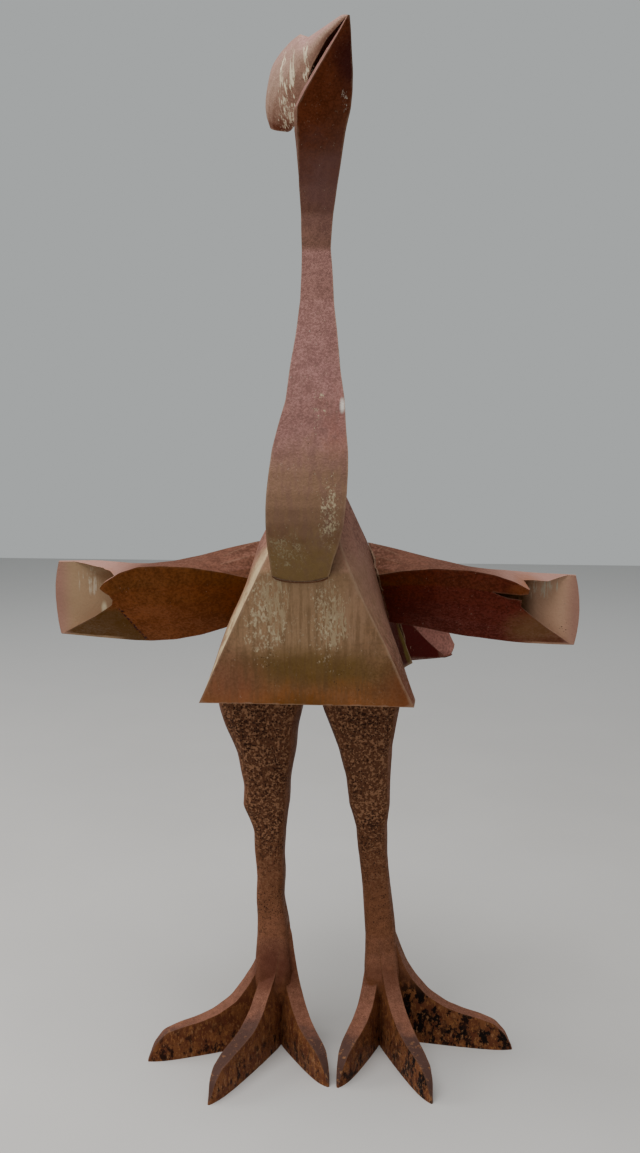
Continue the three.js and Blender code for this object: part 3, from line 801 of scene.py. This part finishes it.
def body_steel():
    """Pale crusts and streaks on the breast, algae below them and orange rust near the rim, with painted
    shadow under the left wing and painted highlights along the breast's folds.
    """
    made = rusts()
    breast = -0.18
    streak = (0.38, 0.28, 0.165)

    def bare_edge_and_glint(tree, vector):
        """Bare cream strip on the right flank, just behind the breast's fold, partly a painted highlight of
        the sky glancing off it.
        """
        drift = times(tree, noise(tree, vector, 22.0, 5.0, 0.65), 0.07)
        front = ramp(tree, number(tree, "ADD", drift, axis_of(tree, vector, "Y")), -0.085, -0.13)
        ragged = ramp(tree, noise(tree, vector, 34.0, 5.0, 0.7), 0.34, 0.56, 0.25, 1.0)
        return times(tree, facing(tree, "X", -0.45, -0.7), front, ragged)

    def wing_shadow(tree, vector):
        """Painted shadow of the left wing on the flank below it."""
        behind = ramp(tree, axis_of(tree, vector, "Y"), -0.09, 0.01)
        low = ramp(tree, axis_of(tree, vector, "Z"), 1.0, 0.88)
        return times(tree, facing(tree, "X", 0.3, 0.6), behind, low)

    layers = [
        stain((0.0, breast, 0.94), (0.24, 0.16, 0.2), 0.8, (0.35, 0.22, 0.12)),
        stain((0.12, -0.12, 0.98), (0.1, 0.1, 0.2), 0.5, (0.3, 0.16, 0.12)),
        stain((0.02, breast, 0.825), (0.2, 0.2, 0.06), 0.75, made.algae),
        stain((-0.02, breast, 0.735), (0.5, 0.25, 0.09), 0.85, made.orange),
        stain((0.0, breast, 0.735), (0.11, 0.2, 0.06), 0.9, (0.15, 0.055, 0.005)),
        stain((-0.14, breast, 0.8), (0.1, 0.2, 0.08), 0.5, (0.25, 0.09, 0.05)),
        (in_patch((0.0, breast, 0.86), (0.35, 0.2, 0.22), rain_marks(0.5)), (0.13, 0.07, 0.03), 0),
        stain((0.23, breast, 0.76), (0.12, 0.12, 0.14), 0.6, (0.17, 0.045, 0.015)),
        # Painted shadow that the left wing casts on the flank.
        (wing_shadow, (0.06, 0.008, 0.003), 0),
        stain((0.2, 0.185, 0.83), (0.045, 0.022, 0.12), 0.9, (0.14, 0.11, 0.02)),
        # Cream strip: bare steel and a painted highlight.
        (bare_edge_and_glint, (0.58, 0.44, 0.25), 0.3),
        (in_patch((-0.065, breast, 0.925), (0.07, 0.12, 0.15), crust(210.0)), made.mineral, 0.8),
        (in_patch((-0.05, breast, 0.95), (0.05, 0.12, 0.1), runs(230.0)), streak, 0.4),
        (in_patch((0.05, breast, 0.925), (0.06, 0.12, 0.14), crust(220.0)), made.mineral, 0.8),
        (in_patch((0.06, breast, 0.92), (0.05, 0.12, 0.11), runs(240.0)), streak, 0.4),
        (speckle(230.0, 0.2), (0.4, 0.31, 0.21), 0.3),
        (pitting(220.0, -0.5), made.pit, -0.6),
    ]
    # The fold colour is laid on strongly here, partly as painted highlights along the breast's folds.
    return steel("body steel", layers, mottle=(8.0, 0.36), wear_and_glint=0.55)


def neck_steel():
    """Olive tint at the neck's foot, crusts on its front, and painted shade on the upper neck and near the
    beak's tip, under the head.
    """
    made = rusts()
    layers = [
        stain((0.0, -0.21, 1.02), (0.2, 0.16, 0.1), 0.9, (0.23, 0.145, 0.056)),
        stain((0.02, -0.22, 1.14), (0.2, 0.14, 0.14), 0.6, (0.27, 0.165, 0.09)),
        stain((0.06, -0.12, 1.25), (0.05, 0.12, 0.12), 0.5, (0.33, 0.12, 0.075)),
        # Painted shade: the upper neck and the throat by the beak's tip face down under the head and are
        # painted darker.
        stain((0.05, -0.15, 1.705), (0.14, 0.2, 0.125), 0.9, (0.15, 0.068, 0.058)),
        stain((0.09, -0.15, 1.91), (0.05, 0.12, 0.07), 0.85, (0.045, 0.003, 0.002)),
        (in_patch((0.03, -0.2, 1.3), (0.2, 0.2, 0.42), rain_marks(0.45)), (0.17, 0.085, 0.07), 0),
        (in_patch((0.055, -0.22, 1.12), (0.035, 0.12, 0.1), crust(260.0)), made.mineral, 0.8),
        (in_patch((-0.02, -0.22, 1.05), (0.06, 0.12, 0.07), crust(280.0)), (0.36, 0.29, 0.17), 0.6),
        (in_patch((0.035, -0.15, 1.3), (0.028, 0.1, 0.07), crust(150.0)), made.mineral, 0.8),
        (in_patch((0.074, -0.14, 1.85), (0.011, 0.08, 0.026), crust(240.0)), (0.8, 0.74, 0.6), 0.8),
        (in_patch((0.074, -0.17, 1.311), (0.008, 0.02, 0.02), share(0.8)), (0.75, 0.73, 0.66), 0.5),
        (speckle(230.0, 0.16), (0.4, 0.31, 0.22), 0.3),
        (pitting(230.0, -0.5), made.pit, -0.5),
    ]
    return steel("neck steel", layers, rust=(0.165, 0.08, 0.052), sky=(0.255, 0.12, 0.112),
                 mottle=(10.0, 0.22), wear_and_glint=0.4)


def head_steel():
    """Pale streaks down the head plate, with crusts at its lower end."""
    streak = (0.7, 0.6, 0.42)
    layers = [
        (in_patch((-0.041, -0.1, 1.885), (0.016, 0.25, 0.12), runs(230.0)), streak, 0.6),
        (in_patch((-0.022, -0.1, 1.895), (0.012, 0.25, 0.1), runs(250.0)), streak, 0.6),
        (in_patch((0.006, -0.12, 1.91), (0.014, 0.25, 0.07), runs(240.0)), streak, 0.6),
        (in_patch((-0.03, -0.1, 1.83), (0.06, 0.2, 0.05), crust(190.0)), (0.55, 0.45, 0.32), 0.5),
        (speckle(210.0, 0.3), (0.6, 0.5, 0.38), 0.3),
    ]
    return steel("head steel", layers, rust=(0.35, 0.22, 0.16), sky=(0.31, 0.175, 0.15),
                 mottle=(14.0, 0.16))


def wing_steel(side, under, inside, dry):
    """Wing on a side (-1 right, 1 left): colours below and inside, and where the dry inner wall starts."""
    def far_out(tree, vector, low, high):
        return ramp(tree, number(tree, "ABSOLUTE", axis_of(tree, vector, "X")), low, high)

    def inner_wall(tree, vector):
        """Dry inner face of the back wall, seen through the slanting cut."""
        behind = ramp(tree, axis_of(tree, vector, "Y"), 0.0455, 0.0485)
        return times(tree, far_out(tree, vector, dry, dry + 0.04), facing(tree, "Y", -0.5, -0.8), behind)

    def inner_edge(tree, vector):
        """Mauve margin of the same wall along its end."""
        return times(tree, far_out(tree, vector, 0.495, 0.53), facing(tree, "Y", -0.3, -0.6))

    def in_front(inner):
        """The inner mask, on faces that look forward."""
        return lambda tree, vector: times(tree, inner(tree, vector), facing(tree, "Y", -0.3, -0.6))

    def upper_end(tree, vector):
        """Paler outer half of the top fold; the darker part near the body is painted shade from the body."""
        return times(tree, far_out(tree, vector, 0.3, 0.44), facing(tree, "Z", 0.4, 0.7))

    def across_weld(tree, vector):
        """Distance past the slanting weld that joins the end of the leaf, towards the breast."""
        height = scale_add(tree, axis_of(tree, vector, "Z"), 0.472, -0.0925)
        across = scale_add(tree, axis_of(tree, vector, "X"), 0.881, height)
        return scale_add(tree, noise(tree, vector, 110.0, 4.0, 0.6), 0.011, across)

    def ragged_weld(tree, vector):
        """Dark ragged weld down the leaf."""
        line = ramp(tree, number(tree, "ABSOLUTE", across_weld(tree, vector)), 0.0035, 0.0015)
        low = ramp(tree, axis_of(tree, vector, "Z"), 0.912, 0.9)
        return times(tree, line, low, ramp(tree, noise(tree, vector, 150.0, 3.0, 0.6), 0.45, 0.53))

    def damp_end(tree, vector):
        """Olive end of the leaf beyond that weld."""
        low = ramp(tree, axis_of(tree, vector, "Z"), 0.915, 0.895)
        return times(tree, ramp(tree, across_weld(tree, vector), 0.002, -0.006), low)

    washed = in_front(in_patch((side * 0.46, 0.05, 0.95), (0.05, 0.1, 0.05), runs(150.0)))
    layers = [
        (upper_end, (0.36, 0.2, 0.16), 0),
        (inner_wall, inside, 0),
        (inner_edge, (0.36, 0.19, 0.14), 0),
        (washed, (0.58, 0.47, 0.34), 0.3),
        stain((side * 0.42, 0.0, 0.96), (0.05, 0.1, 0.03), 0.6, (0.26, 0.08, 0.015)),
        *spots_and_pits(),
    ]
    if side < 0:
        # Painted highlight: a small light glint on the inner wall by the slanting cut.
        painted_glint = in_front(in_patch((-0.434, 0.048, 0.893), (0.008, 0.03, 0.02), share(0.8)))
        end = [(in_front(damp_end), (0.105, 0.042, 0.004), 0),
               (in_front(ragged_weld), (0.035, 0.006, 0.003), -0.6)]
        layers = [*end, *layers, (painted_glint, (0.8, 0.72, 0.48), 0.3)]
    else:
        layers = [stain((0.45, 0.0, 0.87), (0.09, 0.2, 0.06), 0.75, (0.18, 0.083, 0.028)), *layers]
    name = "right wing steel" if side < 0 else "left wing steel"
    # The dark sky colour paints the body's shade on the top fold near the root.
    return steel(name, layers, under, rust=(0.125, 0.05, 0.009), sky=(0.14, 0.056, 0.034), wear_and_glint=0.12)


def tail_steel():
    """Mauve tail, partly a painted sheen of the sky, whose near wall is painted dark outside as shade from
    the wing and the body.
    """
    def shaded_outside(tree, vector):
        """Painted shade on the outer face of the wall nearest to the breast, which the wing and the body
        shadow, by the distance from the trough's line.
        """
        sideways = scale_add(tree, axis_of(tree, vector, "X"), -0.5, -0.0772)
        across = scale_add(tree, axis_of(tree, vector, "Y"), 0.866, sideways)
        return times(tree, ramp(tree, across, 0.0075, 0.006), facing(tree, "Y", -0.2, -0.5))

    # Painted shade on the near wall's outer face.
    layers = [(shaded_outside, (0.07, 0.004, 0.002), 0), *spots_and_pits()]
    return steel("tail steel", layers, rust=(0.27, 0.11, 0.085), wear_and_glint=0.15)


def leg_steel(name):
    """Leg: light ridges between dark pits on the thigh, flaking rust on the toes."""
    def above(low, high):
        return lambda tree, vector: ramp(tree, axis_of(tree, vector, "Z"), low, high)

    def both(*masks):
        return lambda tree, vector: times(tree, *(mask(tree, vector) for mask in masks))

    def blotches(scale, low, high):
        """Ragged upright blotches."""
        return lambda tree, vector: ramp(
            tree, noise(tree, drawn_out(tree, vector, 0.6), scale, 7.0, 0.72), low, high)

    def grain(tree, vector):
        """Worm-like light ridges between the pits of the upper leg."""
        return ramp(tree, noise(tree, vector, 175.0, 3.0, 0.6), 0.5, 0.57)

    def thigh(tree, vector):
        """Front and back of the upper leg, fading out over the knee and towards the margins."""
        broad = ramp(tree, number(tree, "ABSOLUTE", looking(tree, "Y")), 0.55, 0.93)
        drift = scale_add(tree, noise(tree, vector, 20.0, 3.0, 0.5), 0.16, axis_of(tree, vector, "Z"))
        return times(tree, broad, ramp(tree, drift, 0.34, 0.6))

    def toe_side(tree, vector):
        """Upright sides of the toes."""
        return times(tree, facing(tree, "Z", 0.35, 0.15), above(0.16, 0.1)(tree, vector))

    def outer_toe(tree, vector):
        """Outer toe of the left foot, which has lost most of its rust."""
        return ramp(tree, axis_of(tree, vector, "X"), 0.165, 0.2)

    def toe_top(tree, vector):
        """Backs of the toes."""
        return times(tree, facing(tree, "Z", 0.15, 0.35), above(0.14, 0.08)(tree, vector))

    def worn_dark(tree, vector):
        """Dark steel where the rust has flaked off the front of the toes."""
        drift = noise(tree, vector, 26.0, 5.0, 0.65)
        return ramp(tree, scale_add(tree, drift, -0.12, axis_of(tree, vector, "Y")), -0.165, -0.215)

    layers = [
        (thigh, (0.135, 0.052, 0.024), 0),
        stain((-0.07, -0.06, 0.17), (0.07, 0.07, 0.07), 0.75, (0.085, 0.02, 0.01)),
        stain((0.15, -0.02, 0.15), (0.07, 0.09, 0.04), 0.5, (0.1, 0.03, 0.014)),
        (both(toe_top, worn_dark), (0.09, 0.045, 0.035), 0),
        (toe_side, (0.14, 0.042, 0.018), 0),
        (both(toe_side, blotches(55.0, 0.43, 0.55)), (0.22, 0.08, 0.03), 0.4),
        (both(toe_side, blotches(150.0, 0.53, 0.6)), (0.32, 0.13, 0.045), 0.4),
        (both(toe_side, outer_toe, blotches(42.0, 0.5, 0.53)), (0.008, 0.003, 0.002), -0.5),
        (both(toe_side, above(0.09, 0.02), blotches(70.0, 0.53, 0.58)), (0.03, 0.01, 0.005), -0.4),
        (both(above(0.1, 0.04), blotches(110.0, 0.57, 0.63)), (0.34, 0.16, 0.07), 0.3),
        (both(thigh, grain), (0.35, 0.17, 0.088), 0.9),
        (both(thigh, pitting(250.0, 0.0)), (0.04, 0.012, 0.005), -1.2),
        (both(above(0.14, 0.36), pitting(300.0, -0.08)), (0.06, 0.022, 0.011), -0.8),
        (pitting(300.0, -0.42), rusts().pit, -0.6),
    ]
    return steel(name, layers, rust=(0.225, 0.088, 0.04), under=(0.05, 0.01, 0.004),
                 sky=(0.25, 0.105, 0.065), mottle=(22.0, 0.3), wear_and_glint=0.2, worn_and_glint=(0.25, 0.12, 0.06), bump=0.0012)


def bead_steel():
    """Rough rust of the weld beads."""
    return steel("weld steel", [(pitting(260.0, -0.3), rusts().pit, -0.6)],
                 rust=(0.17, 0.1, 0.055), sky=(0.2, 0.12, 0.08), mottle=(40.0, 0.35), wear_and_glint=0)


def floor_finish():
    """Pale floor with faint clouds, which lightens with distance from the figure."""
    material = bpy.data.materials.new("pale floor")
    material.use_nodes = True
    tree = material.node_tree
    shader = tree.nodes["Principled BSDF"].inputs
    vector = wire(tree, "ShaderNodeTexCoord").outputs["Object"]
    colour = tuple(stage().floor_colour)
    clouds = ramp(tree, noise(tree, vector, 2.0, 3.0, 0.5), 0.3, 0.7)
    mixed = blend(tree, clouds, colour, tuple(c * 0.96 for c in colour))
    away = vector_math(tree, "LENGTH", vector)
    mixed = blend(tree, ramp(tree, away, 1.2, 5.5), mixed, (0.97, 0.97, 0.96))
    put(tree, shader["Base Color"], mixed)
    put(tree, shader["Roughness"], 0.75)
    return material


# Operators


HEAD_CELL = 0.75
WELD_REACH = 0.0042


class OstrichBody(bpy.types.Operator):
    """Make the folded body shell"""

    bl_idname = "ostrich.body"
    bl_label = "Body"

    def execute(self, context):
        make_sheet("body_shell", body_steel(), sheets().body_cell, seed=11)
        return {"FINISHED"}


class OstrichNeck(bpy.types.Operator):
    """Make the neck with the lower beak, and the head sheet"""

    bl_idname = "ostrich.neck_and_head"
    bl_label = "Neck and head"

    def execute(self, context):
        make_sheet("neck_and_lower_beak", neck_steel(), sheets().cell, seed=12)
        make_sheet("head_plate", head_steel(), sheets().cell * HEAD_CELL, seed=13, rounds=10)
        return {"FINISHED"}


class OstrichWings(bpy.types.Operator):
    """Make both wings and the tail"""

    bl_idname = "ostrich.wings_and_tail"
    bl_label = "Wings and tail"

    def execute(self, context):
        # Both wings are one rust; their underside and inside colours differ as painted light: the right
        # wing's underside lighter where light falls from the left, the left wing's darker, and the left
        # wing's inside lighter to offset the shade on it.
        right = wing_steel(-1, under=(0.18, 0.046, 0.004), inside=(0.4, 0.26, 0.15), dry=0.38)
        left = wing_steel(1, under=(0.115, 0.011, 0.002), inside=(0.56, 0.34, 0.22), dry=0.415)
        make_sheet("wing_right", right, sheets().cell, seed=14)
        make_sheet("wing_left", left, sheets().cell, seed=15)
        make_sheet("tail", tail_steel(), sheets().cell, seed=16)
        return {"FINISHED"}


class OstrichLegs(bpy.types.Operator):
    """Make both legs with their pitted rust scale"""

    bl_idname = "ostrich.legs"
    bl_label = "Legs"

    def execute(self, context):
        cell, depth, angle = sheets().leg_cell, sheets().scale_depth, sheets().leg_fold_angle
        for seed, side in enumerate(("right", "left")):
            finish = leg_steel(f"{side} leg steel")
            make_sheet(f"leg_{side}", finish, cell, 17 + seed, rounds=26, scale=depth, angle=angle)
        return {"FINISHED"}


class OstrichWelds(bpy.types.Operator):
    """Lay the weld beads where one sheet meets another"""

    bl_idname = "ostrich.welds"
    bl_label = "Welds"

    def execute(self, context):
        finish = bead_steel()
        for seed, (node, other) in enumerate(JOINTS):
            path, closed = seam_between(node, other, WELD_REACH)
            make_bead(f"weld_{node}", path, closed, finish, seed)
        for seed, (node, low, high) in enumerate(BACK_SEAMS):
            make_bead(f"seam_{node}", back_line(node, low, high), False, finish, 20 + seed)
        return {"FINISHED"}


JOINTS = [
    ("wing_right", "body_shell"),
    ("wing_left", "body_shell"),
    ("neck_and_lower_beak", "body_shell"),
    ("tail", "body_shell"),
]
BACK_SEAMS = [("leg_right", 0.2, 0.74), ("leg_left", 0.2, 0.74), ("neck_and_lower_beak", 1.3, 1.74)]


class OstrichStage(bpy.types.Operator):
    """Lay the floor, hang the lights and set the camera"""

    bl_idname = "ostrich.stage"
    bl_label = "Stage"

    def execute(self, context):
        settings = stage()
        half = settings.floor_size / 2
        mesh = bpy.data.meshes.new("floor")
        corners = [(x * half, y * half, 0) for x, y in ((-1, -1), (1, -1), (1, 1), (-1, 1))]
        mesh.from_pydata(corners, [], [(0, 1, 2, 3)])
        mesh.materials.append(floor_finish())
        floor = bpy.data.objects.new("floor", mesh)
        context.scene.collection.objects.link(floor)
        hang_light("top light", (-0.5, -0.7, 4.2), 1.0, 3.2, settings.top_power, (1.0, 0.98, 0.97))
        hang_light("left light", (-3.4, 0.3, 2.3), 1.0, 1.6, settings.left_power, (1.0, 0.97, 0.93))
        hang_light("front light", (-1.6, -3.8, 2.2), 0.9, 2.4, settings.front_power, (1.0, 0.96, 0.92))
        world = bpy.data.worlds.new("studio")
        world.use_nodes = True
        back = world.node_tree.nodes["Background"]
        seen = wire(world.node_tree, "ShaderNodeLightPath").outputs["Is Camera Ray"]
        back.inputs["Color"].default_value = (0.86, 0.9, 0.9, 1)
        world.node_tree.links.new(ramp(world.node_tree, seen, 0.0, 1.0, 0.24, 0.5), back.inputs["Strength"])
        context.scene.world = world
        set_camera(context.scene, settings)
        return {"FINISHED"}


def hang_light(name, place, aim_height, size, power, colour):
    """Square area light at a place, turned to face a point above the middle of the floor."""
    light = bpy.data.lights.new(name, "AREA")
    light.shape = "SQUARE"
    light.size = size
    light.energy = power
    light.color = colour
    holder = bpy.data.objects.new(name, light)
    holder.location = place
    holder.rotation_euler = (Vector((0, 0, aim_height)) - Vector(place)).to_track_quat("-Z", "Y").to_euler()
    bpy.context.scene.collection.objects.link(holder)


def set_camera(scene, settings):
    """Camera with the photograph's place, direction and lens."""
    turn, dip = settings.camera_turn, settings.camera_dip
    right = Vector((math.cos(turn), math.sin(turn), 0))
    level = Vector((-math.sin(turn), math.cos(turn), 0))
    ahead = level * math.cos(dip) - Vector((0, 0, math.sin(dip)))
    up = right.cross(ahead)
    data = bpy.data.cameras.new("camera")
    data.sensor_fit = "VERTICAL"
    data.sensor_height = 36.0
    data.lens = settings.lens
    camera = bpy.data.objects.new("camera", data)
    axes = Matrix((right, up, -ahead)).transposed().to_4x4()
    camera.matrix_world = Matrix.Translation(settings.camera_place) @ axes
    scene.collection.objects.link(camera)
    scene.camera = camera


class OstrichPanel(bpy.types.Panel):
    """Lists the steps that make the ostrich"""

    bl_idname = "VIEW3D_PT_ostrich"
    bl_label = "Ostrich"
    bl_space_type = "VIEW_3D"
    bl_region_type = "UI"
    bl_category = "Ostrich"

    def draw(self, context):
        for step in STEPS:
            self.layout.operator(step.bl_idname)
        for settings in (sheets(), rusts(), stage()):
            box = self.layout.box()
            for key in settings.__annotations__:
                box.prop(settings, key)


STEPS = (OstrichBody, OstrichNeck, OstrichWings, OstrichLegs, OstrichWelds, OstrichStage)
CLASSES = (SheetSettings, RustSettings, StageSettings, *STEPS, OstrichPanel)


def register():
    for made in CLASSES:
        bpy.utils.register_class(made)
    bpy.types.Scene.ostrich_sheets = PointerProperty(type=SheetSettings)
    bpy.types.Scene.ostrich_rusts = PointerProperty(type=RustSettings)
    bpy.types.Scene.ostrich_stage = PointerProperty(type=StageSettings)


def unregister():
    del bpy.types.Scene.ostrich_sheets
    del bpy.types.Scene.ostrich_rusts
    del bpy.types.Scene.ostrich_stage
    for made in reversed(CLASSES):
        bpy.utils.unregister_class(made)


def main():
    register()
    bpy.ops.ostrich.body()
    bpy.ops.ostrich.neck_and_head()
    bpy.ops.ostrich.wings_and_tail()
    bpy.ops.ostrich.legs()
    bpy.ops.ostrich.welds()
    bpy.ops.ostrich.stage()


if __name__ == "__main__":
    main()
